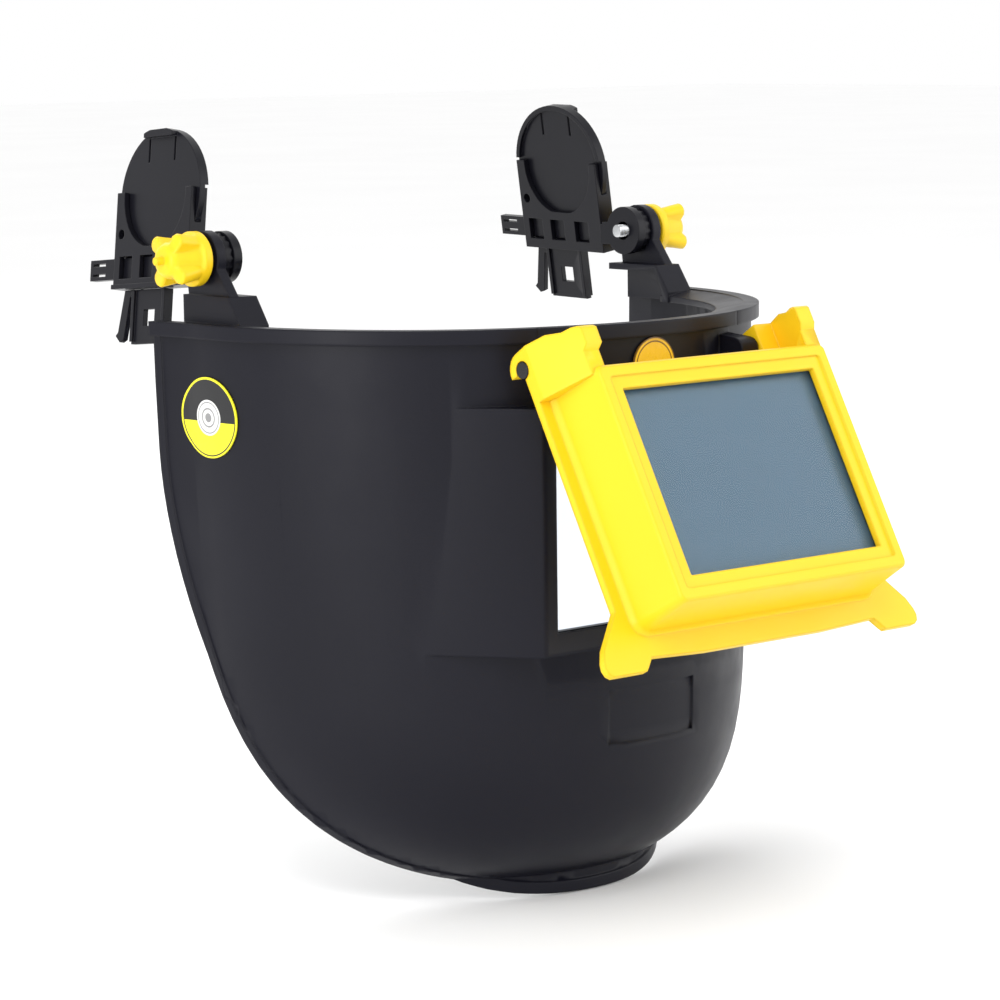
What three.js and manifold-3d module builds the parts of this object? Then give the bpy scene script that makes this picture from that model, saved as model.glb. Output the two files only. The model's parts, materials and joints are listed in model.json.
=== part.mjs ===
// A welding face shield that clips into the side slots of a safety helmet.
//
// Millimetres, +Z up, the wearer faces -Y and the wearer's left is +X. The origin is the middle of
// the axis through the two ear pivots, on which the whole shield tilts.
import * as THREE from "three";
import { mergeVertices } from "three/addons/utils/BufferGeometryUtils.js";
import Module from "manifold-3d";

const wasm = await Module();
wasm.setup();

// ---------------------------------------------------------------- driving dimensions

const GAP = 0.3; // clearance between pieces that touch

const FILTER = { width: 108, height: 83, thickness: 3 }; // the standard welding filter plate
const FILTER_VIEW = { width: 98, height: 73 }; // what the flip-up frame leaves free of it

const SHELL = {
  halfWidth: 122.5, // at the rim, beside the ears
  depth: 127, // from the ear pivots forward to the brow
  roundness: 2.1, // exponent of the plan curve: 2 is an ellipse, more is squarer
  flare: 0.185, // how far each side opens outward per millimetre behind the ears
  narrowing: 8, // what each side loses...
  narrowingDrop: 150, // ...this far below the rim
  wall: 3,
  rimZ: -24,
  turnZ: -160, // where the wall starts to turn in under the chin
  turnHeight: 93.5, // how far below turnZ it would close
  lipZ: -239.5, // top of the upright lip round the chin
  bottomZ: -248.5,
  rearY: 17, // the upright rear edge
  rearStraightZ: -75, // below this the rear edge sweeps forward to the chin
  chinEdgeY: -100, // where that sweep ends
  sweepRoundness: 1.75, // exponent of the sweep: 2 is an ellipse, less is flatter
};
const RIM = { height: 5.5, proud: 3, notchX: 52, notchWidth: 2 };
const EDGE_BEAD = { proud: 0.9, width: 3.6, chinWidth: 4.5 };
const SHELF = { innerHalfWidth: 107, innerDepth: 114.5, fall: 2.5, thickness: 2.5, rearY: -22 };

const BOSS = {
  halfWidth: 57,
  topZ: -52.8,
  bottomZ: -145.5,
  frontY: -127.6,
  backY: -90,
  sideSlope: 0.74, // how far each side spreads per millimetre back
  skin: 5.9,
};
const WINDOW = { width: 94.5, height: 75, centreZ: -100, bevelWidth: 6.8, wall: 3.1 };
const CLEAR_LENS_THICKNESS = 2;
const CLEAR_RETAINER = { thickness: 2.9, viewWidth: 97.5 };
const PLAQUE = { width: 43.8, height: 21, centreZ: -172.8, recess: 0.8 };
const STICKER = { y: -11, z: -59.5, radius: 15.5, thickness: 0.4 };
const BADGE = { z: -40.8, radius: 10.7, thickness: 0.6 };

const HINGE = { y: -129, z: -37.8, pinRadius: 3.25, pinIn: 42, pinOut: 67.3 };
const HINGE_BLOCK = { inX: 41, outX: 49.4, noseRadius: 4.6, backY: -104, backTopZ: -31 };
const FLIP_REST_ANGLE = 28.6; // degrees that the front stands open in the rest pose
const FLIP = {
  flangeHalf: 67,
  flangeThickness: 3,
  topV: 4,
  notchV: 9.2,
  bottomV: 114.6,
  archV: 116.2,
  boxTopV: 11.5,
  boxBottomV: 103.5,
  boxHalf: 58.5,
  boxFrontU: 28.2,
  viewTopV: 21,
  plinth: 4,
  borderWidth: 4.75,
  tabTopV: 96,
  tabHalf: 80.5,
  tabInnerHalf: 60.5,
  tabBottomV: 119.5,
};
const FLIP_STACK = { coverFront: -24.5, coverBack: -23.3, filterBack: -20, ringBack: -16.4 };
const LUG = {
  hookRadius: 6.8,
  hookInX: 50.2,
  topUp: 7.4, // the flat top of the grip, above the hinge axis
  tipU: 27.6, // how far forward the thumb grip reaches
  armU: 25.5,
  underUp: -14, // where the arm sinks into the box
  gripWidth: 7.6,
  leanStart: 5.5,
  lean: 0.38, // how far the grip leans inward per millimetre forward
};

const EAR = { inX: 111.1, outX: 115.3, radius: 10.5, rearInset: 1 };
const LEDGE = {
  inX: 104,
  outX: 117.3,
  flangeX: 121, // the flange reaches into the rim band
  topZ: -13.9,
  wall: 2.6,
  frontY: -19.2,
  footY: -26.6,
  rearY: 9.5,
};
const STUD = { radius: 2.6, inX: 99.5, depth: 10.5 };
const WASHER_RADIUS = 8;
const INDEX_DISC = { inX: 107.3, teeth: 18, rootRadius: 8.7, tipRadius: 9.4 };
const KNOB = {
  seatX: 117,
  discRadius: 10.5,
  discLength: 4,
  lobeRadius: 12.4,
  valleyRadius: 7,
  hubRadius: 6.6,
  endX: 133.6,
  nubRadius: 1.6,
  tipX: 136.8,
};

// Each adapter stands at its own distance, slope and place along its bar, as pushed onto the helmet.
const ADAPTERS = {
  left: { x: 110.5, slide: -1.5, leanDegrees: 9, pitchDegrees: -1 },
  right: { x: 107, slide: -3.5, leanDegrees: 9, pitchDegrees: 5 },
};
const PLATE = { radius: 26.5, y: 43, z: 25.7, thickness: 2.4, footZ: 5.3, rimHeight: 1.6, rimWidth: 2 };
const PLATE_LIP = { halfLength: 9.5, height: 2.8, proud: 2.6, slitLength: 9.4, slitWidth: 1.2 };
const CARRIER = {
  frontY: 18.7,
  rearY: 68.3,
  bottomZ: -10.3,
  housingTopZ: 6,
  railTopZ: 27.9,
  thickness: 7.6,
  footHeight: 1.8,
  rivetRadius: 2,
};
const CRADLE = { radius: 20.5 };
const HOUSING_CELL = { halfWidth: 4.3, lowZ: -6.3, highZ: 2.6 };
const BAR = { frontY: 11.8, stepY: 14.2, rearY: 84.5, lowZ: -6, highZ: 2.2, thickness: 3 };
const BAR_SLIT = { length: 8.7, width: 1.1, endMargin: 1.8 };
const EYE = { inX: 103.3, outX: 107, radius: 10, boreRadius: 3.9 };
const BLADE = { frontY: 35.4, rearY: 57.6, bottomZ: -32, thickness: 2.2 };
const BLADE_RIB = { proud: 1, width: 1.8 };
const BLADE_WINDOW = { halfWidth: 3.7, height: 6.5, lift: 7 };

// ---------------------------------------------------------------- solids

// A closed geometry as a solid that can be joined and cut, with its faces turned outward.
function solid(geometry) {
  const bare = new THREE.BufferGeometry();
  bare.setAttribute("position", geometry.getAttribute("position"));
  if (geometry.index) bare.setIndex(geometry.index);
  const merged = mergeVertices(bare, 1e-4);
  const vertProperties = new Float32Array(merged.attributes.position.array);
  const triVerts = new Uint32Array(merged.index.array);
  const body = new wasm.Manifold(new wasm.Mesh({ numProp: 3, vertProperties, triVerts }));
  if (body.volume() > 0) return body;
  return new wasm.Manifold(new wasm.Mesh({ numProp: 3, vertProperties, triVerts: triVerts.reverse() }));
}

function geometryOf(body) {
  const mesh = body.getMesh();
  const geometry = new THREE.BufferGeometry();
  geometry.setAttribute("position", new THREE.BufferAttribute(mesh.vertProperties, 3));
  geometry.setIndex(new THREE.BufferAttribute(mesh.triVerts, 1));
  geometry.computeVertexNormals();
  return geometry;
}

const join = (...bodies) => bodies.reduce((sum, body) => sum.add(body));
const cut = (body, ...tools) => tools.reduce((rest, tool) => rest.subtract(tool), body);

function box([x0, x1], [y0, y1], [z0, z1]) {
  const geometry = new THREE.BoxGeometry(x1 - x0, y1 - y0, z1 - z0);
  geometry.translate((x0 + x1) / 2, (y0 + y1) / 2, (z0 + z1) / 2);
  return solid(geometry);
}

// A round bar along X.
function rod(radius, x0, x1, y = 0, z = 0, sides = 24) {
  const geometry = new THREE.CylinderGeometry(radius, radius, x1 - x0, sides);
  geometry.rotateZ(Math.PI / 2);
  geometry.translate((x0 + x1) / 2, y, z);
  return solid(geometry);
}

function shapeOf(outline) {
  if (outline instanceof THREE.Shape) return outline;
  return new THREE.Shape(outline.map(([a, b]) => new THREE.Vector2(a, b)));
}

function extrude(outline, length) {
  const options = { depth: length, bevelEnabled: false, curveSegments: 8 };
  return new THREE.ExtrudeGeometry(shapeOf(outline), options);
}

// An outline in (y, z), extruded along X.
function prismAlongX(outline, x0, x1) {
  const geometry = extrude(outline, x1 - x0);
  const turn = new THREE.Matrix4();
  turn.set(0, 0, 1, x0, 1, 0, 0, 0, 0, 1, 0, 0, 0, 0, 0, 1);
  return solid(geometry.applyMatrix4(turn));
}

// An outline in (x, z), extruded along Y from back to front.
function prismAlongY(outline, frontY, backY) {
  const geometry = extrude(outline, backY - frontY);
  geometry.rotateX(Math.PI / 2);
  geometry.translate(0, backY, 0);
  return solid(geometry);
}

// A closed body through a row of closed rings with the same number of points.
function loft(rings) {
  const count = rings[0].length;
  const points = rings.flat();
  const faces = [];
  for (let ring = 0; ring + 1 < rings.length; ring++) {
    for (let i = 0; i < count; i++) {
      const a = ring * count + i;
      const b = ring * count + ((i + 1) % count);
      faces.push(a, b, b + count, a, b + count, a + count);
    }
  }
  for (const [ring, turned] of [[0, true], [rings.length - 1, false]]) {
    const middle = rings[ring].reduce((sum, p) => sum.map((v, k) => v + p[k] / count), [0, 0, 0]);
    points.push(middle);
    for (let i = 0; i < count; i++) {
      const a = ring * count + i;
      const b = ring * count + ((i + 1) % count);
      faces.push(points.length - 1, ...(turned ? [b, a] : [a, b]));
    }
  }
  const geometry = new THREE.BufferGeometry();
  geometry.setAttribute("position", new THREE.Float32BufferAttribute(points.flat(), 3));
  geometry.setIndex(faces);
  return solid(geometry);
}

// A rectangle with round corners, as a shape in the drawing plane.
function roundedRectangle(width, height, radius, centreY = 0) {
  const x = width / 2 - radius;
  const y = height / 2 - radius;
  const shape = new THREE.Shape();
  shape.absarc(x, centreY - y, radius, -Math.PI / 2, 0);
  shape.absarc(x, centreY + y, radius, 0, Math.PI / 2);
  shape.absarc(-x, centreY + y, radius, Math.PI / 2, Math.PI);
  shape.absarc(-x, centreY - y, radius, Math.PI, 1.5 * Math.PI);
  return shape;
}

// A rectangular ring plate that lies across Y.
function ringPlate(outer, inner, centreZ, frontY, backY) {
  const ring = prismAlongY(roundedRectangle(outer.width, outer.height, 1, centreZ), frontY, backY);
  const hole = roundedRectangle(inner.width, inner.height, 1, centreZ);
  return cut(ring, prismAlongY(hole, frontY - 1, backY + 1));
}

const lerp = THREE.MathUtils.lerp;
const radians = THREE.MathUtils.degToRad;
const bothSides = (make) => join(make(1), make(-1));
const sideSpan = (side, a, b) => [Math.min(side * a, side * b), Math.max(side * a, side * b)];

// ---------------------------------------------------------------- shell

// The share of its width that the shell keeps at height z, as it turns in under the chin.
function chinShare(z, turnHeight = SHELL.turnHeight) {
  const closing = Math.max(0, (SHELL.turnZ - z) / turnHeight);
  return Math.cbrt(Math.max(0, 1 - closing ** 3));
}

// Half width and depth of the shell at height z, grown by an offset.
function shellSize(z, offset) {
  const down = Math.max(0, SHELL.rimZ - z) / SHELL.narrowingDrop;
  const lip = chinShare(SHELL.lipZ);
  const inner = offset < 0 ? SHELL.turnHeight + offset : SHELL.turnHeight;
  const share = Math.max(chinShare(z, inner), lip);
  return {
    halfWidth: (SHELL.halfWidth - SHELL.narrowing * down ** 1.5) * share + offset,
    depth: SHELL.depth * share + offset,
  };
}

// A point of the plan curve: angle 0 is beside the wearer's left ear, 90 degrees is the front.
function planPoint({ halfWidth, depth }, angle) {
  const power = 2 / SHELL.roundness;
  const c = Math.cos(angle);
  const x = Math.sign(c) * halfWidth * Math.abs(c) ** power;
  return [x, -depth * Math.abs(Math.sin(angle)) ** power];
}

const PLAN_STEPS = 56;
const BACK_Y = SHELL.rearY + 20; // behind every rear edge, trimmed off again

// The solid inside the shell's skin between two heights.
function bowl(offset, topZ, bottomZ) {
  const heights = [topZ];
  const straightSteps = 6;
  for (let i = 1; i <= straightSteps; i++) heights.push(lerp(SHELL.rimZ, SHELL.turnZ, i / straightSteps));
  const turnSteps = 14;
  for (let i = 1; i <= turnSteps; i++) {
    const share = Math.sin((i / turnSteps) * (Math.PI / 2));
    heights.push(lerp(SHELL.turnZ, SHELL.lipZ, share));
  }
  heights.push(bottomZ);
  const used = heights.filter((z, i) => z <= topZ && z >= bottomZ && heights.indexOf(z) === i);
  return loft(
    used.map((z) => {
      const size = shellSize(z, offset);
      const backX = size.halfWidth + SHELL.flare * BACK_Y;
      const ring = [[backX, BACK_Y, z]];
      for (let i = 0; i <= PLAN_STEPS; i++) {
        ring.push([...planPoint(size, (i / PLAN_STEPS) * Math.PI), z]);
      }
      ring.push([-backX, BACK_Y, z]);
      return ring;
    }),
  );
}

// Everything behind and below the shell's rear edge, moved in from it by an inset.
function behindEdge(inset = 0, chinInset = inset) {
  const reachY = SHELL.rearY - SHELL.chinEdgeY - inset;
  const reachZ = SHELL.rearStraightZ - SHELL.bottomZ - chinInset;
  const outline = [[SHELL.rearY - inset, 0]];
  const steps = 28;
  const power = 2 / SHELL.sweepRoundness;
  for (let i = 0; i <= steps; i++) {
    const angle = (i / steps) * (Math.PI / 2);
    outline.push([
      SHELL.chinEdgeY + reachY * Math.cos(angle) ** power,
      SHELL.rearStraightZ - reachZ * Math.sin(angle) ** power,
    ]);
  }
  outline.push([SHELL.chinEdgeY - 60, SHELL.rearStraightZ - reachZ]);
  outline.push([SHELL.chinEdgeY - 60, -320], [80, -320], [80, 0]);
  return prismAlongX(outline, -200, 200);
}

// The block round the window, tapering out sideways until it meets the curved wall.
function bossBlock(inset) {
  const { backY } = BOSS;
  const frontY = BOSS.frontY + inset;
  const half = (y) => BOSS.halfWidth - inset * 1.2 + (y - BOSS.frontY) * BOSS.sideSlope;
  const plan = [[-half(frontY), frontY], [half(frontY), frontY], [half(backY), backY], [-half(backY), backY]];
  const heights = [BOSS.bottomZ + inset * 0.5, BOSS.topZ - inset * 0.5];
  return loft(heights.map((z) => plan.map(([x, y]) => [x, y, z])));
}

// The window's opening with its bevelled edge.
function windowCut() {
  const seatY = BOSS.frontY + WINDOW.wall;
  const ring = (grow, y) => {
    const x = WINDOW.width / 2 + grow;
    const z = WINDOW.height / 2 + grow;
    return [[-x, -z], [x, -z], [x, z], [-x, z]].map(([a, b]) => [a, y, WINDOW.centreZ + b]);
  };
  return loft([ring(WINDOW.bevelWidth, BOSS.frontY), ring(0, seatY - 0.4), ring(0, seatY + 30)]);
}

// The recess that holds the clear lens from behind.
function lensPocket() {
  const outline = roundedRectangle(FILTER.width + 2 * GAP, FILTER.height + 2 * GAP, 0.8, WINDOW.centreZ);
  return prismAlongY(outline, BOSS.frontY + WINDOW.wall, -95);
}

// The inward shelf under the rim, which falls slightly towards the helmet.
function shelf() {
  const rim = shellSize(SHELL.rimZ, -1);
  const edge = { halfWidth: SHELF.innerHalfWidth, depth: SHELF.innerDepth };
  const start = Math.asin(Math.abs(SHELF.rearY / SHELL.depth) ** (SHELL.roundness / 2));
  const innerZ = SHELL.rimZ - SHELF.fall;
  const sections = [];
  for (let i = 0; i <= PLAN_STEPS; i++) {
    const angle = lerp(start, Math.PI - start, i / PLAN_STEPS);
    const outer = planPoint(rim, angle);
    const inner = planPoint(edge, angle);
    sections.push([
      [...outer, SHELL.rimZ],
      [...inner, innerZ],
      [...inner, innerZ - SHELF.thickness],
      [...outer, SHELL.rimZ - SHELF.thickness],
    ]);
  }
  return loft(sections);
}

// The hollow ledge that carries the ear, with its sloping front, on a flange inside the wall.
function ledge(side) {
  const { inX, outX, flangeX, topZ, wall, frontY, footY, rearY } = LEDGE;
  const shoulderZ = SHELL.rimZ - 0.6;
  const footZ = SHELL.rimZ - SHELF.fall - SHELF.thickness;
  const outer = [[rearY, topZ], [frontY, topZ], [footY, shoulderZ], [footY, footZ], [rearY, footZ]];
  const under = topZ - wall;
  const hollow = [
    [rearY + 1, under],
    [frontY + wall / 2, under],
    [footY + 1.5 * wall, shoulderZ],
    [footY + 1.5 * wall, footZ - 1],
    [rearY + 1, footZ - 1],
  ];
  const body = prismAlongX(outer, ...sideSpan(side, inX, outX));
  const flange = box(sideSpan(side, outX - 1, flangeX), [footY, rearY], [shoulderZ - wall, shoulderZ]);
  return join(cut(body, prismAlongX(hollow, ...sideSpan(side, inX - 1, outX - wall))), flange);
}

// The upright ear that the clamp knob bears on.
function ear(side) {
  const outline = [];
  const steps = 14;
  for (let i = 0; i <= steps; i++) {
    const angle = lerp(-0.05 * Math.PI, 1.12 * Math.PI, i / steps);
    outline.push([EAR.radius * Math.cos(angle), EAR.radius * Math.sin(angle)]);
  }
  const rootZ = LEDGE.topZ - 1;
  outline.push([LEDGE.frontY + 1, rootZ], [LEDGE.rearY - EAR.rearInset, rootZ]);
  const [x0, x1] = sideSpan(side, EAR.inX, EAR.outX);
  return cut(prismAlongX(outline, x0, x1), rod(STUD.radius + 2 * GAP, x0 - 1, x1 + 1));
}

// The block beside the window's top corner that holds a hinge pin.
function hingeBlock(side) {
  const { noseRadius, backY, backTopZ } = HINGE_BLOCK;
  const outline = [];
  const steps = 8;
  for (let i = 0; i <= steps; i++) {
    const angle = lerp(0.5 * Math.PI, 1.35 * Math.PI, i / steps);
    outline.push([HINGE.y + noseRadius * Math.cos(angle), HINGE.z + noseRadius * Math.sin(angle)]);
  }
  const footZ = BOSS.topZ - 3;
  outline.push([BOSS.frontY + 1, footZ + 6], [BOSS.frontY + 1, footZ], [backY, footZ], [backY, backTopZ]);
  return prismAlongX(outline, ...sideSpan(side, HINGE_BLOCK.inX, HINGE_BLOCK.outX));
}

// The shallow blank panel below the window.
function plaqueRecess() {
  const half = PLAQUE.width / 2;
  const z = [PLAQUE.centreZ - PLAQUE.height / 2, PLAQUE.centreZ + PLAQUE.height / 2];
  const outside = bowl(1, SHELL.rimZ, SHELL.bottomZ);
  const skin = cut(outside, bowl(-PLAQUE.recess, SHELL.rimZ + 1, SHELL.bottomZ - 1));
  return box([-half, half], [-SHELL.depth - 20, -SHELL.depth + 20], z).intersect(skin);
}

function shell() {
  const { rimZ, bottomZ, wall, depth } = SHELL;
  const outside = join(
    bowl(0, rimZ, bottomZ),
    bowl(RIM.proud, rimZ, rimZ - RIM.height),
    bowl(EDGE_BEAD.proud, rimZ, bottomZ).intersect(behindEdge(EDGE_BEAD.width, EDGE_BEAD.chinWidth)),
    bossBlock(0),
    bothSides(hingeBlock),
  );
  const inside = join(bowl(-wall, rimZ + 1, bottomZ - 1), bossBlock(BOSS.skin));
  const rimNotch = (side) => box(
    sideSpan(side, RIM.notchX - RIM.notchWidth / 2, RIM.notchX + RIM.notchWidth / 2),
    [-depth - 10, -depth + 7.5],
    [rimZ - RIM.height - 1, rimZ + 1],
  );
  const skin = cut(outside, inside, windowCut(), lensPocket(), bothSides(rimNotch), plaqueRecess());
  const pinBore = (side) => rod(
    HINGE.pinRadius + GAP,
    ...sideSpan(side, HINGE.pinIn - GAP, HINGE_BLOCK.outX + 1),
    HINGE.y,
    HINGE.z,
  );
  const trimmed = cut(skin, behindEdge());
  return cut(join(trimmed, shelf(), bothSides(ledge), bothSides(ear)), bothSides(pinBore));
}

const hingePin = () => rod(HINGE.pinRadius, HINGE.pinIn, HINGE.pinOut, HINGE.y, HINGE.z);

const LENS_FRONT_Y = BOSS.frontY + WINDOW.wall + GAP;
const LENS_BACK_Y = LENS_FRONT_Y + CLEAR_LENS_THICKNESS;

const clearLens = () => prismAlongY(
  roundedRectangle(FILTER.width, FILTER.height, 0.8, WINDOW.centreZ),
  LENS_FRONT_Y,
  LENS_BACK_Y,
);

const clearLensRetainer = () => ringPlate(
  FILTER,
  { width: CLEAR_RETAINER.viewWidth, height: WINDOW.height },
  WINDOW.centreZ,
  LENS_BACK_Y + GAP,
  LENS_BACK_Y + GAP + CLEAR_RETAINER.thickness,
);

// A thin disc that lies on the outside of the shell's right wall.
function sideSticker() {
  const { y, z, radius, thickness } = STICKER;
  const outside = bowl(GAP + thickness, SHELL.rimZ, SHELL.bottomZ);
  const skin = cut(outside, bowl(GAP, SHELL.rimZ + 1, SHELL.bottomZ - 1));
  return skin.intersect(rod(radius, -SHELL.halfWidth - 30, 0, y, z, 48));
}

function frontBadge() {
  const { z, radius, thickness } = BADGE;
  const geometry = new THREE.CylinderGeometry(radius, radius, thickness, 40);
  geometry.translate(0, -SHELL.depth - GAP - thickness / 2, z);
  return solid(geometry);
}

// ---------------------------------------------------------------- flip-up front
// Drawn closed and hanging from the hinge: x across, y forward is -u, z down is -v, with the hinge
// axis as the origin.

const VIEW_CENTRE_Z = -(FLIP.viewTopV + FILTER_VIEW.height / 2);

// The back flange with its two lift tabs.
function flipFlange() {
  const f = FLIP;
  const half = [
    [LUG.hookInX, -f.notchV],
    [LUG.hookInX, -f.topV],
    [f.flangeHalf, -f.topV],
    [f.flangeHalf, -f.tabTopV],
    [f.tabHalf - 2.5, -f.tabTopV - 13],
    [f.tabHalf - 0.4, -f.tabBottomV + 6],
    [f.tabHalf, -f.tabBottomV + 3.5],
    [f.tabHalf - 0.8, -f.tabBottomV + 1.2],
    [f.tabHalf - 2.6, -f.tabBottomV],
    [f.tabInnerHalf + 1.5, -f.tabBottomV],
    [f.tabInnerHalf, -f.tabBottomV + 1.5],
    [f.tabInnerHalf - 3, -f.bottomV],
    [f.tabInnerHalf / 2, -f.archV + 0.4],
  ];
  const mirrored = half.map(([x, z]) => [-x, z]).reverse();
  const outline = [...mirrored, ...half].reverse();
  return prismAlongY(outline, -f.flangeThickness, 0);
}

// The box that holds the filter, drawn in slightly towards its front.
function flipBox() {
  const f = FLIP;
  const height = f.boxBottomV - f.boxTopV;
  const centreZ = -(f.boxTopV + f.boxBottomV) / 2;
  const corner = 3;
  const section = (grow, y) => {
    const width = 2 * f.boxHalf + 2 * grow;
    const outline = roundedRectangle(width, height + 2 * grow, corner + grow, centreZ);
    return outline.getPoints(4).map((p) => [p.x, y, p.y]);
  };
  return loft([
    section(f.plinth, -f.flangeThickness + 1),
    section(f.plinth - 0.5, -f.flangeThickness - 1.5),
    section(2, -f.flangeThickness - 3),
    section(0, -f.boxFrontU + 1),
    section(-1, -f.boxFrontU),
  ]);
}

// A lug: a hook over the hinge pin, an arm and a thumb grip, leaning inward towards the thumb.
function flipLug(side) {
  const inner = HINGE.pinRadius + GAP;
  const outline = [];
  const arc = (radius, from, to, steps) => {
    for (let i = 0; i <= steps; i++) {
      const angle = radians(lerp(from, to, i / steps));
      outline.push([radius * Math.cos(angle), radius * Math.sin(angle)]);
    }
  };
  // In (forward, up): the hook is open towards the back and down.
  arc(inner, -90, 190, 12);
  arc(LUG.hookRadius, 186, 95, 6);
  const { topUp, tipU, armU, underUp } = LUG;
  outline.push([6, topUp], [14, topUp], [20, topUp - 2], [24, topUp - 2], [tipU - 1.1, topUp - 2.6]);
  outline.push([tipU, topUp - 3.8], [tipU, topUp - 10], [armU, topUp - 12], [armU, underUp]);
  outline.push([2, underUp], [0, -inner - 1.2]);
  const sideways = outline.map(([u, up]) => [-u, up]).reverse();
  const slice = (inX, frontY, backY) => prismAlongX(sideways, ...sideSpan(side, inX, FLIP.flangeHalf))
    .intersect(box([-FLIP.tabHalf, FLIP.tabHalf], [frontY, backY], [-40, 40]));
  const bendY = -LUG.leanStart;
  const hook = slice(LUG.hookInX, bendY, 20);
  const grip = slice(FLIP.flangeHalf - LUG.gripWidth, -60, bendY + 0.05);
  const slope = side * LUG.lean;
  const lean = new THREE.Matrix4().set(1, slope, 0, -slope * bendY, 0, 1, 0, 0, 0, 0, 1, 0, 0, 0, 0, 1);
  return join(hook, solid(geometryOf(grip).applyMatrix4(lean)));
}

function flipFrame() {
  const front = -FLIP.boxFrontU;
  const pocket = roundedRectangle(FILTER.width + 4 * GAP, FILTER.height + 4 * GAP, 1, VIEW_CENTRE_Z);
  const view = roundedRectangle(FILTER_VIEW.width, FILTER_VIEW.height, 0.6, VIEW_CENTRE_Z);
  const border = roundedRectangle(
    FILTER_VIEW.width + 2 * FLIP.borderWidth,
    FILTER_VIEW.height + 2 * FLIP.borderWidth,
    1.5,
    VIEW_CENTRE_Z,
  );
  return cut(
    join(flipFlange(), flipBox(), bothSides(flipLug)),
    prismAlongY(pocket, FLIP_STACK.coverFront - GAP, 5),
    prismAlongY(view, front - 1, 5),
    prismAlongY(border, front - 1, front + 0.9),
  );
}

const filterPlate = (frontY, backY) => prismAlongY(
  roundedRectangle(FILTER.width, FILTER.height, 0.8, VIEW_CENTRE_Z),
  frontY,
  backY,
);

// The sprung frame that holds the glass in the box.
const filterRetainer = () => ringPlate(
  FILTER,
  { width: FILTER_VIEW.width, height: FILTER_VIEW.height },
  VIEW_CENTRE_Z,
  FLIP_STACK.filterBack + GAP,
  FLIP_STACK.ringBack,
);

// ---------------------------------------------------------------- ear clamps, drawn for the left ear

// A clamp knob: a round seat, four wings that flare outward round a hub, and a small end nub.
function knob() {
  const { seatX, discRadius, discLength, lobeRadius, valleyRadius, hubRadius, endX, nubRadius, tipX } = KNOB;
  const points = 64;
  const wings = 4;
  const firstWing = radians(38);
  const ring = (x, tip, valley) => {
    const turn = [];
    for (let i = 0; i < points; i++) {
      const angle = (i / points) * 2 * Math.PI;
      const wave = Math.max(0, Math.cos(wings * angle)) ** 0.45;
      const r = lerp(valley, tip, wave);
      turn.push([x, r * Math.cos(angle + firstWing), r * Math.sin(angle + firstWing)]);
    }
    return turn;
  };
  const discX = seatX + discLength;
  const body = loft([
    ring(seatX, discRadius - 0.6, discRadius - 0.6),
    ring(seatX + 0.6, discRadius, discRadius),
    ring(discX - 0.6, discRadius, discRadius),
    ring(discX, discRadius - 0.6, discRadius - 0.6),
    ring(discX + 0.8, discRadius - 0.4, valleyRadius + 1),
    ring(endX - 3.4, lobeRadius, valleyRadius),
    ring(endX - 2.4, lobeRadius - 0.7, valleyRadius - 0.2),
    ring(endX - 2, hubRadius, hubRadius - 0.2),
    ring(endX - 0.7, hubRadius - 0.9, hubRadius - 0.9),
    ring(endX, hubRadius - 2.6, hubRadius - 2.6),
  ]);
  const nub = rod(nubRadius, endX - 1, tipX, 0, 0, 16);
  return cut(join(body, nub), rod(STUD.radius + GAP, seatX - 1, seatX + STUD.depth + GAP));
}

const knobStud = () => rod(STUD.radius, STUD.inX, KNOB.seatX + STUD.depth);

const knobWasher = () => cut(
  rod(WASHER_RADIUS, EAR.outX + GAP, KNOB.seatX - GAP),
  rod(STUD.radius + GAP, EAR.outX, KNOB.seatX),
);

// The toothed disc between the ear and the arm's eye.
function indexDisc() {
  const { inX, teeth, rootRadius, tipRadius } = INDEX_DISC;
  const outline = [];
  for (let i = 0; i < 2 * teeth; i++) {
    const radius = i % 2 ? rootRadius : tipRadius;
    const angle = (i / teeth) * Math.PI;
    outline.push([radius * Math.cos(angle), radius * Math.sin(angle)]);
  }
  return cut(prismAlongX(outline, inX, EAR.inX - GAP), rod(STUD.radius + GAP, inX - 1, EAR.inX));
}

// ---------------------------------------------------------------- helmet adapters, for the left side
// Drawn upright round the adapter's own origin: x outward, y back, z up. The adapter then leans in
// at its top and slopes a little from front to back, as the side of a helmet does.

function leaning(body, adapter, slide = adapter.slide) {
  const place = new THREE.Matrix4()
    .makeTranslation(adapter.x, 0, 0)
    .multiply(new THREE.Matrix4().makeRotationX(-radians(adapter.pitchDegrees)))
    .multiply(new THREE.Matrix4().makeTranslation(0, slide, 0))
    .multiply(new THREE.Matrix4().makeRotationY(-radians(adapter.leanDegrees)));
  return solid(geometryOf(body).applyMatrix4(place));
}

// The arm that carries the shield: an eye on the pivot and a flat bar that slides in the adapter.
function slideArm(adapter) {
  const half = BAR.thickness / 2;
  const bar = box([-half, half], [BAR.frontY, BAR.rearY], [BAR.lowZ, BAR.highZ]);
  const slitEnd = BAR.rearY - BAR_SLIT.endMargin;
  const slits = [0.25, 0.75].map((share) => {
    const z = lerp(BAR.lowZ, BAR.highZ, share) - BAR_SLIT.width / 2;
    return box([-5, 5], [slitEnd - BAR_SLIT.length, slitEnd], [z, z + BAR_SLIT.width]);
  });
  const leant = leaning(cut(bar, ...slits), adapter, 0);
  const neckY = [2, BAR.frontY + 1];
  const eye = join(
    rod(EYE.radius, EYE.inX, EYE.outX, 0, 0, 40),
    box([EYE.inX, EYE.outX], neckY, [BAR.lowZ, BAR.highZ + 1]),
  );
  const step = box([EYE.inX, adapter.x + half + 0.2], [BAR.frontY, BAR.stepY], [BAR.lowZ, BAR.highZ]);
  return cut(join(leant, eye, step), rod(EYE.boreRadius, EYE.inX - 1, EYE.outX + 1));
}

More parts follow.
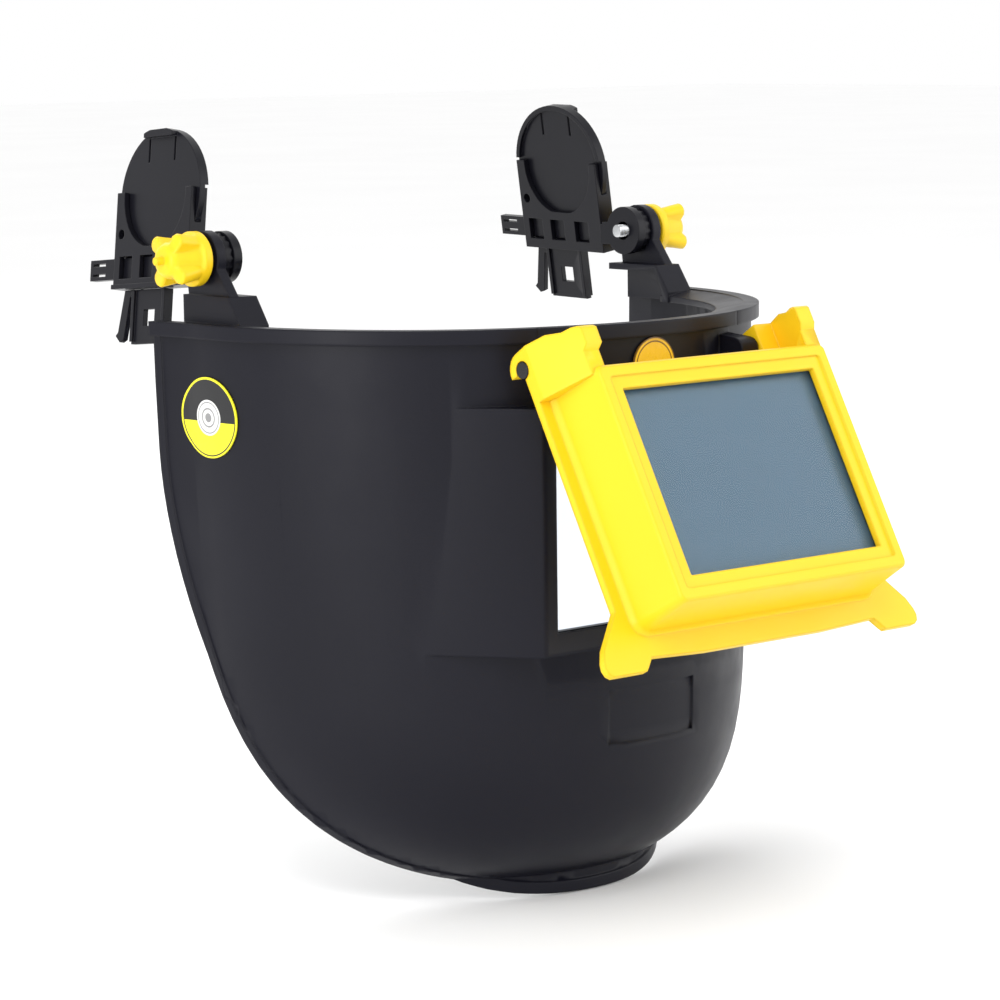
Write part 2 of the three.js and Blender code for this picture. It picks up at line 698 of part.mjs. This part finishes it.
// A disc across x with a flat foot, centred where the helmet plate is.
function helmetDisc(radius, x0, x1, footZ) {
  const foot = box([x0 - 1, x1 + 1], [0, PLATE.y + 2 * radius], [footZ - 40, footZ]);
  return cut(rod(radius, x0, x1, PLATE.y, PLATE.z, 64), foot);
}

// The round hollow of the cradle, opened upward to the rails' full height.
function cradleHollow() {
  const { housingTopZ, railTopZ } = CARRIER;
  const steps = 20;
  const outline = [[PLATE.y - CRADLE.radius, railTopZ + 1]];
  for (let i = 0; i <= steps; i++) {
    const angle = lerp(Math.PI, 2 * Math.PI, i / steps);
    const z = PLATE.z + CRADLE.radius * Math.sin(angle);
    outline.push([PLATE.y + CRADLE.radius * Math.cos(angle), Math.max(housingTopZ, z)]);
  }
  outline.push([PLATE.y + CRADLE.radius, railTopZ + 1]);
  return prismAlongX(outline, -10, 10);
}

// The cradle: two rails that take the helmet plate, over a housing that the arm slides through.
function carrier() {
  const { frontY, rearY, bottomZ, housingTopZ, railTopZ, thickness, footHeight, rivetRadius } = CARRIER;
  const half = thickness / 2;
  const body = box([-half, half], [frontY, rearY], [bottomZ, railTopZ]);
  const foot = box([0, half + 1], [frontY, rearY], [bottomZ, bottomZ + footHeight]);
  const grooveHalf = PLATE.thickness / 2 + GAP;
  const groove = helmetDisc(PLATE.radius + GAP, -grooveHalf, grooveHalf, PLATE.footZ - GAP);
  const tunnelHalf = BAR.thickness / 2 + GAP;
  const tunnel = box([-tunnelHalf, tunnelHalf], [frontY - 5, rearY + 5], [BAR.lowZ - GAP, BAR.highZ + GAP]);
  const { halfWidth, lowZ, highZ } = HOUSING_CELL;
  const cells = [0.25, 0.56, 0.84].map((share) => {
    const y = lerp(frontY, rearY, share);
    return box([-10, 10], [y - halfWidth, y + halfWidth], [lowZ, highZ]);
  });
  const rivet = rod(rivetRadius, -10, 10, rearY - 4, housingTopZ + 5.4, 20);
  return cut(join(body, foot), cradleHollow(), groove, tunnel, rivet, ...cells);
}

// The dished plate that bears on the helmet, with a sprung tongue and a hooked lip at its top.
function helmetPlate() {
  const half = PLATE.thickness / 2;
  const { radius, rimHeight, rimWidth } = PLATE;
  const disc = helmetDisc(radius, -half, half, PLATE.footZ);
  const rim = cut(
    helmetDisc(radius, -half - rimHeight, -half + 0.2, CARRIER.railTopZ + 1),
    rod(radius - rimWidth, -10, 10, PLATE.y, PLATE.z, 64),
  );
  const { halfLength, height, proud, slitLength, slitWidth } = PLATE_LIP;
  const lipTop = PLATE.z + radius - 0.6;
  const lipY = [PLATE.y - halfLength, PLATE.y + halfLength];
  const lip = box([-half, half + proud], lipY, [lipTop - height, lipTop])
    .intersect(rod(radius, -10, 10, PLATE.y, PLATE.z, 64));
  const slits = [-1, 1].map((side) => {
    const y = PLATE.y + side * (halfLength - 1);
    const slitTop = lipTop - height - 0.2;
    return box([-5, half + 0.1], [y - slitWidth / 2, y + slitWidth / 2], [slitTop - slitLength, slitTop]);
  });
  return cut(join(disc, rim, lip), ...slits);
}

// The springy leg behind the blade, with a barb at its foot.
function barbedLeg() {
  const { rearY, bottomZ, thickness } = BLADE;
  const topZ = CARRIER.bottomZ - GAP;
  const outline = [
    [rearY - 1, topZ - 2.4],
    [rearY + 2.4, topZ - 2.4],
    [rearY + 5.6, bottomZ + 2],
    [rearY + 8, bottomZ + 1],
    [rearY + 11, bottomZ + 3.6],
    [rearY + 9.5, bottomZ + 5],
    [rearY + 6, topZ],
    [rearY - 1, topZ],
  ];
  return prismAlongX(outline, -thickness / 2, thickness / 2);
}

// The blade that drops into the helmet's accessory slot.
function slotBlade() {
  const { frontY, rearY, bottomZ, thickness } = BLADE;
  const topZ = CARRIER.bottomZ - GAP;
  const half = thickness / 2;
  const ribHalf = half + BLADE_RIB.proud;
  const blade = box([-half, half], [frontY, rearY], [bottomZ, topZ]);
  const rib = (y) => box([-ribHalf, ribHalf], [y, y + BLADE_RIB.width], [bottomZ + 1, topZ]);
  const middleY = (frontY + rearY) / 2;
  const window = box(
    [-5, 5],
    [middleY - BLADE_WINDOW.halfWidth, middleY + BLADE_WINDOW.halfWidth],
    [bottomZ + BLADE_WINDOW.lift, bottomZ + BLADE_WINDOW.lift + BLADE_WINDOW.height],
  );
  return cut(join(blade, rib(frontY), rib(rearY - BLADE_RIB.width), barbedLeg()), window);
}

// ---------------------------------------------------------------- the assembly

function material(color, roughness, metalness = 0) {
  return new THREE.MeshStandardMaterial({ color, roughness, metalness });
}

const BLACK = () => material(0x26262c, 0.45);
const DARK_STEEL = () => material(0x2a2a2e, 0.35, 0.6);
const YELLOW = () => material(0xffdf2a, 0.35);
const STEEL = () => material(0xb8bcc0, 0.3, 1);
const FILTER_SLATE = () => material(0x5f7c90, 0.08);
const CLEAR = () => Object.assign(material(0xd8e0ea, 0.05), { transparent: true, opacity: 0.3 });

const object = new THREE.Group();

function add(parent, name, body, finish) {
  const mesh = new THREE.Mesh(geometryOf(body), finish);
  mesh.name = name;
  parent.add(mesh);
}

add(object, "shell", shell(), BLACK());
add(object, "clear_lens", clearLens(), CLEAR());
add(object, "clear_lens_retainer", clearLensRetainer(), BLACK());
add(object, "side_sticker", sideSticker(), material(0xf2de20, 0.5));
add(object, "front_badge", frontBadge(), material(0xc9a227, 0.3, 0.8));

const flip = new THREE.Group();
flip.position.set(0, HINGE.y, HINGE.z);
flip.rotation.x = -radians(FLIP_REST_ANGLE);
object.add(flip);
add(flip, "flip_frame", flipFrame(), YELLOW());
add(flip, "filter_cover_lens", filterPlate(FLIP_STACK.coverFront, FLIP_STACK.coverBack), CLEAR());
add(flip, "filter_glass", filterPlate(FLIP_STACK.coverBack + GAP, FLIP_STACK.filterBack), FILTER_SLATE());
add(flip, "filter_retainer", filterRetainer(), DARK_STEEL());

for (const [label, mirror] of [["left", 1], ["right", -1]]) {
  const adapter = ADAPTERS[label];
  const half = new THREE.Group();
  half.scale.x = mirror;
  object.add(half);
  add(half, `hinge_pin_${label}`, hingePin(), DARK_STEEL());
  add(half, `knob_${label}`, knob(), YELLOW());
  add(half, `knob_stud_${label}`, knobStud(), STEEL());
  add(half, `knob_washer_${label}`, knobWasher(), DARK_STEEL());
  add(half, `index_disc_${label}`, indexDisc(), BLACK());
  add(half, `slide_arm_${label}`, slideArm(adapter), BLACK());
  add(half, `carrier_${label}`, leaning(carrier(), adapter), BLACK());
  add(half, `helmet_plate_${label}`, leaning(helmetPlate(), adapter), BLACK());
  add(half, `slot_blade_${label}`, leaning(slotBlade(), adapter), BLACK());
}

export default object;
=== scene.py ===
"""The looks of the helmet-mounted welding face shield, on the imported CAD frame.

Metres, +Z up, the front faces -Y. The origin is the middle of the axis through the two ear pivots.
STICKER, BADGE, STUD, HINGE_PIN and CAMERA_PLACE are in millimetres, and MM scales them where they are used.
"""
import json
import math

import bmesh
import bpy
from mathutils import Matrix, Vector


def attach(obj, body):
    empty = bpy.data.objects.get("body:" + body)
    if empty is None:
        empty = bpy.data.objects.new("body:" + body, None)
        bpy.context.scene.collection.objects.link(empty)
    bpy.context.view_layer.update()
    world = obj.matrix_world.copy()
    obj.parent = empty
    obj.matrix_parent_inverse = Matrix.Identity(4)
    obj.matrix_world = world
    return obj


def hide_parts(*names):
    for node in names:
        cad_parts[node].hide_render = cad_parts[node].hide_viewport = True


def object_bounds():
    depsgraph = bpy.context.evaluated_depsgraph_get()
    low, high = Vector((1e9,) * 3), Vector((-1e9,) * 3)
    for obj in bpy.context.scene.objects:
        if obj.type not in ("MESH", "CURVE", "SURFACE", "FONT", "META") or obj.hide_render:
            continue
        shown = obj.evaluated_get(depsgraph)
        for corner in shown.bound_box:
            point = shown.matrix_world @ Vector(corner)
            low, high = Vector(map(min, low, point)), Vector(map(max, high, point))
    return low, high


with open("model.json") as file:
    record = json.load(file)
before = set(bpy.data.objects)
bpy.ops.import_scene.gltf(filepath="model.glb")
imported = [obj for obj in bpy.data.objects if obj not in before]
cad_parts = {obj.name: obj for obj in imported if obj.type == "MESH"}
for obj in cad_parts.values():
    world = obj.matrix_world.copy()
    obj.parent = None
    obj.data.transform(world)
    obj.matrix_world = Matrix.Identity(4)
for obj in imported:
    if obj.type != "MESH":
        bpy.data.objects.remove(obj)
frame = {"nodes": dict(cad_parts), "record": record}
cad_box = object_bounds()

MM = 0.001
SMOOTH_ANGLE = math.radians(32)  # edges sharper than this stay crisp
WELD_DISTANCE = 2e-6
FLAT_ANGLE = math.radians(0.5)  # neighbouring faces within this angle are joined
STICKER = {"y": -11, "z": -59.5, "radius": 15.5}
BADGE = {"z": -40.8, "radius": 10.7}


# ---------------------------------------------------------------- materials

class Nodes:
    """A material's node tree, with short calls for the nodes used here."""

    def __init__(self, name):
        self.material = bpy.data.materials.new(name)
        self.material.use_nodes = True
        self.tree = self.material.node_tree
        self.shader = self.tree.nodes["Principled BSDF"]
        self.place = self.add("ShaderNodeTexCoord").outputs["Object"]

    def add(self, kind, **values):
        node = self.tree.nodes.new(kind)
        for key, value in values.items():
            setattr(node, key, value)
        return node

    def link(self, source, target):
        self.tree.links.new(source, target)

    def noise(self, scale, detail=2.0, stretch=None):
        node = self.add("ShaderNodeTexNoise")
        node.inputs["Scale"].default_value = scale
        node.inputs["Detail"].default_value = detail
        if stretch:
            mapping = self.add("ShaderNodeMapping")
            mapping.inputs["Scale"].default_value = stretch
            self.link(self.place, mapping.inputs["Vector"])
            self.link(mapping.outputs["Vector"], node.inputs["Vector"])
        else:
            self.link(self.place, node.inputs["Vector"])
        return node.outputs["Fac"]

    def spread(self, source, low, high, start=0.3, end=0.7):
        """Maps a 0 to 1 source onto low to high."""
        node = self.add("ShaderNodeMapRange")
        node.inputs["From Min"].default_value = start
        node.inputs["From Max"].default_value = end
        node.inputs["To Min"].default_value = low
        node.inputs["To Max"].default_value = high
        self.link(source, node.inputs["Value"])
        return node.outputs["Result"]

    def maths(self, operation, first, second=None):
        """One arithmetic step; either value can be a socket or a number."""
        node = self.add("ShaderNodeMath", operation=operation)
        for target, value in zip(node.inputs, (first, second)):
            if isinstance(value, (int, float)):
                target.default_value = value
            elif value is not None:
                self.link(value, target)
        return node.outputs["Value"]

    def colours(self, source, stops, steps=False):
        node = self.add("ShaderNodeValToRGB")
        ramp = node.color_ramp
        if steps:
            ramp.interpolation = "CONSTANT"
        while len(ramp.elements) < len(stops):
            ramp.elements.new(0.5)
        for element, (position, colour) in zip(ramp.elements, stops):
            element.position = position
            element.color = (*colour, 1)
        self.link(source, node.inputs["Fac"])
        return node.outputs["Color"]

    def relief(self, height, distance, strength=1.0, round_edges=0.0):
        """Bump from a height, in metres, over edges rounded to a radius."""
        bump = self.add("ShaderNodeBump")
        bump.inputs["Distance"].default_value = distance
        bump.inputs["Strength"].default_value = strength
        self.link(height, bump.inputs["Height"])
        if round_edges:
            bevel = self.add("ShaderNodeBevel", samples=6)
            bevel.inputs["Radius"].default_value = round_edges
            self.link(bevel.outputs["Normal"], bump.inputs["Normal"])
        self.link(bump.outputs["Normal"], self.shader.inputs["Normal"])


PLASTICS = {
    "shell": {
        "dark": (0.0058, 0.0058, 0.0105),
        "light": (0.0072, 0.0072, 0.0125),
        "roughness": 0.4,
        "grain": 0.00003,
        "round_edges": 0.0012,
        "specular": 0.18,
    },
    "trim": {
        "dark": (0.0055, 0.0055, 0.0085),
        "light": (0.007, 0.007, 0.0105),
        "roughness": 0.32,
        "grain": 0.00001,
        "round_edges": 0.0005,
        "specular": 0.2,
    },
    "yellow": {
        "dark": (0.86, 0.565, 0.010),
        "light": (0.88, 0.59, 0.012),
        "roughness": 0.38,
        "grain": 0.00001,
        "round_edges": 0.0012,
        "specular": 0.3,
    },
    "dark_metal": {
        "dark": (0.006, 0.006, 0.0065),
        "light": (0.01, 0.01, 0.0105),
        "roughness": 0.26,
        "grain": 0.00001,
        "round_edges": 0.0005,
        "specular": 0.4,
    },
}


def moulded_plastic(name, dark, light, roughness, grain, round_edges, specular):
    """Injection-moulded plastic: a faint grain, slow colour drift and uneven gloss."""
    nodes = Nodes(name)
    shader = nodes.shader
    drift = nodes.noise(14, 3)
    nodes.link(nodes.colours(drift, [(0.3, dark), (0.7, light)]), shader.inputs["Base Color"])
    gloss = nodes.noise(60, 4)
    nodes.link(nodes.spread(gloss, roughness - 0.04, roughness + 0.05), shader.inputs["Roughness"])
    shader.inputs["Specular IOR Level"].default_value = specular
    nodes.relief(nodes.noise(2600, 2), grain, 1.0, round_edges)
    return nodes.material


def filter_glass():
    """A dark filter plate that shows as a flat slate blue."""
    nodes = Nodes("filter_plate")
    shader = nodes.shader
    dark, light = (0.096, 0.166, 0.228), (0.102, 0.174, 0.237)
    tint = nodes.colours(nodes.noise(6, 1), [(0.3, dark), (0.7, light)])
    nodes.link(tint, shader.inputs["Base Color"])
    nodes.link(nodes.spread(nodes.noise(20, 2), 0.1, 0.13), shader.inputs["Roughness"])
    shader.inputs["Specular IOR Level"].default_value = 0.2
    return nodes.material


def clear_plate(name, thin, thick):
    """Polished clear polycarbonate with a faint cool tint."""
    nodes = Nodes(name)
    shader = nodes.shader
    nodes.link(nodes.colours(nodes.noise(8, 1), [(0.3, thin), (0.7, thick)]), shader.inputs["Base Color"])
    shader.inputs["Transmission Weight"].default_value = 1.0
    shader.inputs["Roughness"].default_value = 0.0
    shader.inputs["IOR"].default_value = 1.12
    return nodes.material


def clear_polycarbonate():
    return clear_plate("clear_polycarbonate", (0.72, 0.755, 0.81), (0.735, 0.77, 0.825))


def cover_polycarbonate():
    return clear_plate("cover_polycarbonate", (0.95, 0.965, 0.98), (0.96, 0.975, 0.985))


def bare_steel():
    nodes = Nodes("bare_steel")
    shader = nodes.shader
    shader.inputs["Metallic"].default_value = 1.0
    drift = nodes.noise(200, 3)
    tint = nodes.colours(drift, [(0.3, (0.42, 0.43, 0.44)), (0.7, (0.62, 0.63, 0.64))])
    nodes.link(tint, shader.inputs["Base Color"])
    nodes.link(nodes.spread(drift, 0.22, 0.4), shader.inputs["Roughness"])
    nodes.relief(nodes.noise(1500, 2), 0.00003)
    return nodes.material


def round_print(name, axes, centre, radius, bands, gloss):
    """A printed disc: rings of colour by distance from its middle, across two axes."""
    nodes = Nodes(name)
    split = nodes.add("ShaderNodeSeparateXYZ")
    nodes.link(nodes.place, split.inputs["Vector"])
    squares = []
    for axis, middle in zip(axes, centre):
        offset = nodes.maths("SUBTRACT", split.outputs[axis], middle)
        squares.append(nodes.maths("MULTIPLY", offset, offset))
    distance = nodes.maths("SQRT", nodes.maths("ADD", *squares))
    share = nodes.maths("DIVIDE", distance, radius)
    colour = nodes.colours(share, bands, steps=True)
    nodes.link(colour, nodes.shader.inputs["Base Color"])
    grain, smooth, rough = gloss
    nodes.link(nodes.spread(nodes.noise(grain, 2), smooth, rough), nodes.shader.inputs["Roughness"])
    return nodes, split.outputs["Z"], share, colour


STICKER_BLACK = (0.006, 0.006, 0.007)
STICKER_YELLOW = (0.80, 0.74, 0.012)
STICKER_WHITE = (0.72, 0.72, 0.70)


def sticker_film():
    """A yellow disc with a black upper half, a thin yellow edge and a plain white wheel in the middle."""
    centre_y, centre_z, radius = (STICKER[key] * MM for key in ("y", "z", "radius"))
    grey = (0.25, 0.25, 0.25)
    wheel = [(0.0, grey), (0.11, STICKER_WHITE), (0.2, grey), (0.24, STICKER_WHITE)]
    wheel += [(0.36, grey), (0.39, STICKER_WHITE)]
    lower = wheel + [(0.44, STICKER_YELLOW), (0.92, STICKER_BLACK), (0.95, STICKER_YELLOW)]
    upper = wheel + [(0.44, STICKER_BLACK), (0.94, STICKER_YELLOW)]
    nodes, height, share, lower_disc = round_print(
        "sticker_film", ("Y", "Z"), (centre_y, centre_z), radius, lower, gloss=(80, 0.3, 0.4)
    )
    upper_disc = nodes.colours(share, upper, steps=True)
    above = nodes.maths("GREATER_THAN", height, centre_z - 0.1 * radius)
    mix = nodes.add("ShaderNodeMix", data_type="RGBA")
    nodes.link(above, mix.inputs["Factor"])
    nodes.link(lower_disc, mix.inputs["A"])
    nodes.link(upper_disc, mix.inputs["B"])
    nodes.link(mix.outputs["Result"], nodes.shader.inputs["Base Color"])
    return nodes.material


def badge_film():
    """A blank gold disc with a darker ring near its edge."""
    centre_z, radius = BADGE["z"] * MM, BADGE["radius"] * MM
    gold, line = (0.80, 0.50, 0.02), (0.16, 0.08, 0.01)
    bands = [(0.0, gold), (0.82, line), (0.87, gold), (0.95, line)]
    nodes, *_ = round_print("badge_film", ("X", "Z"), (0, centre_z), radius, bands, gloss=(90, 0.25, 0.35))
    return nodes.material


MATERIALS = {
    "shell_black": moulded_plastic("shell_plastic", **PLASTICS["shell"]),
    "trim_black": moulded_plastic("trim_plastic", **PLASTICS["trim"]),
    "yellow": moulded_plastic("yellow_plastic", **PLASTICS["yellow"]),
    "filter_glass": filter_glass(),
    "clear_lens": clear_polycarbonate(),
    "clear_cover": cover_polycarbonate(),
    "steel": bare_steel(),
    "dark_metal": moulded_plastic("dark_metal", **PLASTICS["dark_metal"]),
    "sticker": sticker_film(),
    "badge": badge_film(),
}


# ---------------------------------------------------------------- pieces

LOOKS = {"filter_cover_lens": "clear_cover"}  # nodes whose look differs from their slot's


def finish_mesh(obj):
    """Smooth shading with crisp edges."""
    for polygon in obj.data.polygons:
        polygon.use_smooth = True
    obj.data.set_sharp_from_angle(angle=SMOOTH_ANGLE)
    weighted = obj.modifiers.new("normals", "WEIGHTED_NORMAL")
    weighted.keep_sharp = True


def dress(obj, slot, look=None):
    obj.data.materials.clear()
    obj.data.materials.append(MATERIALS[look or slot])


def carried_over(node, body, slot):
    """A CAD node's own shape, with its flat faces joined and its curves shaded smooth."""
    mesh = bmesh.new()
    mesh.from_mesh(frame["nodes"][node].data)
    bmesh.ops.remove_doubles(mesh, verts=mesh.verts, dist=WELD_DISTANCE)
    bmesh.ops.dissolve_limit(mesh, angle_limit=FLAT_ANGLE, verts=mesh.verts, edges=mesh.edges)
    data = bpy.data.meshes.new(node + "_shape")
    mesh.to_mesh(data)
    mesh.free()
    piece = bpy.data.objects.new(node + "_piece", data)
    bpy.context.scene.collection.objects.link(piece)
    finish_mesh(piece)
    dress(piece, slot, LOOKS.get(node))
    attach(piece, body)
    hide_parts(node)


def turned(name, side, profile, centre=(0, 0)):
    """A turned body along X from (x, radius) steps in millimetres, on the given side."""
    steps = 40
    mesh = bmesh.new()
    rings = []
    for x, radius in profile:
        ring = []
        for i in range(steps):
            angle = 2 * math.pi * i / steps
            y = centre[0] + radius * math.cos(angle)
            z = centre[1] + radius * math.sin(angle)
            ring.append(mesh.verts.new((side * x * MM, y * MM, z * MM)))
        rings.append(ring)
    for first, second in zip(rings, rings[1:]):
        for i in range(steps):
            j = (i + 1) % steps
            mesh.faces.new((first[i], first[j], second[j], second[i]))
    mesh.faces.new(rings[0])
    mesh.faces.new(rings[-1])
    bmesh.ops.recalc_face_normals(mesh, faces=mesh.faces)
    data = bpy.data.meshes.new(name)
    mesh.to_mesh(data)
    mesh.free()
    piece = bpy.data.objects.new(name, data)
    bpy.context.scene.collection.objects.link(piece)
    finish_mesh(piece)
    return piece


STUD = {"radius": 2.6, "root": 2.2, "in_x": 99.5, "out_x": 127.5, "thread_end": 113, "pitch": 0.8}
HINGE_PIN = {"radius": 3.25, "in_x": 42, "out_x": 67.3, "y": -129, "z": -37.8, "chamfer": 0.7}


def threaded_stud(label, side):
    """The knob's stud, with the turns of its thread where it shows."""
    profile = [(STUD["in_x"], STUD["root"] - 0.3)]
    x = STUD["in_x"] + 0.4
    while x < STUD["thread_end"]:
        profile += [(x, STUD["radius"]), (x + STUD["pitch"] / 2, STUD["root"])]
        x += STUD["pitch"]
    profile += [(x, STUD["radius"]), (STUD["out_x"], STUD["radius"])]
    piece = turned("threaded_stud_" + label, side, profile)
    dress(piece, "steel")
    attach(piece, "clamp_" + label)
    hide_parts("knob_stud_" + label)


def hinge_pin(label, side):
    """A pin with rounded ends."""
    radius, chamfer = HINGE_PIN["radius"], HINGE_PIN["chamfer"]
    ends = [(0, radius - chamfer), (0.2 * chamfer, radius - 0.3 * chamfer), (chamfer, radius)]
    profile = [(HINGE_PIN["in_x"] + x, r) for x, r in ends]
    profile += [(HINGE_PIN["out_x"] - x, r) for x, r in reversed(ends)]
    piece = turned("round_pin_" + label, side, profile, (HINGE_PIN["y"], HINGE_PIN["z"]))
    dress(piece, "dark_metal")
    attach(piece, "shield")
    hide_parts("hinge_pin_" + label)


def turned_pieces():
    done = set()
    for label, side in (("left", 1), ("right", -1)):
        threaded_stud(label, side)
        hinge_pin(label, side)
        done |= {"knob_stud_" + label, "hinge_pin_" + label}
    return done


def carry_over_all(done):
    slots = {row["node"]: row["material_slot"] for row in frame["record"]["subparts"]}
    for body, nodes in frame["record"]["behaviour"]["bodies"].items():
        for node in nodes:
            if node not in done:
                carried_over(node, body, slots[node])


# ---------------------------------------------------------------- stage

CAMERA_PLACE = Vector((-900.5, -1079.1, 87.8))
CAMERA_FORWARD = Vector((0.6483, 0.7493, -0.1355)).normalized()
CAMERA_RIGHT = Vector((0.7551, -0.6555, -0.0126))
CAMERA_LENS = 126


def camera():
    right = (CAMERA_RIGHT - CAMERA_FORWARD * CAMERA_RIGHT.dot(CAMERA_FORWARD)).normalized()
    up = right.cross(CAMERA_FORWARD)
    data = bpy.data.cameras.new("camera")
    data.lens = CAMERA_LENS
    data.sensor_width = 36
    data.clip_start = 0.05
    obj = bpy.data.objects.new("camera", data)
    obj.matrix_world = Matrix((right, up, -CAMERA_FORWARD)).transposed().to_4x4()
    obj.location = CAMERA_PLACE * MM
    bpy.context.scene.collection.objects.link(obj)
    bpy.context.scene.camera = obj


def area_light(name, place, target, size, power):
    data = bpy.data.lights.new(name, "AREA")
    data.size = size
    data.energy = power
    obj = bpy.data.objects.new(name, data)
    obj.location = place
    obj.rotation_euler = (Vector(target) - Vector(place)).to_track_quat("-Z", "Y").to_euler()
    bpy.context.scene.collection.objects.link(obj)


def world_light():
    world = bpy.data.worlds.new("studio")
    world.use_nodes = True
    background = world.node_tree.nodes["Background"]
    background.inputs["Color"].default_value = (1, 1, 1, 1)
    background.inputs["Strength"].default_value = 1.0
    bpy.context.scene.world = world
    bpy.context.scene.view_settings.view_transform = "Standard"


def floor():
    floor_z = cad_box[0][2] - 0.0005
    half = 12
    corners = [(x * half, y * half, floor_z) for x, y in ((-1, -1), (1, -1), (1, 1), (-1, 1))]
    data = bpy.data.meshes.new("floor")
    data.from_pydata(corners, [], [(0, 1, 2, 3)])
    obj = bpy.data.objects.new("floor", data)
    bpy.context.scene.collection.objects.link(obj)
    nodes = Nodes("floor_white")
    tint = nodes.colours(nodes.noise(3, 1), [(0.3, (0.97, 0.97, 0.97)), (0.7, (0.985, 0.985, 0.985))])
    nodes.link(tint, nodes.shader.inputs["Base Color"])
    nodes.shader.inputs["Roughness"].default_value = 0.95
    data.materials.append(nodes.material)


def studio():
    middle = (0, -0.06, -0.1)
    area_light("key", (-1.1, -1.2, 1.6), middle, 1.2, 16)
    area_light("fill", (1.5, -1.3, 0.4), middle, 1.6, 12)
    area_light("back", (0.3, 1.5, 1.4), middle, 1.4, 14)
    area_light("side", (-1.6, -0.3, 0.1), middle, 0.8, 9)
    world_light()
    floor()


carry_over_all(done=turned_pieces())
camera()
studio()
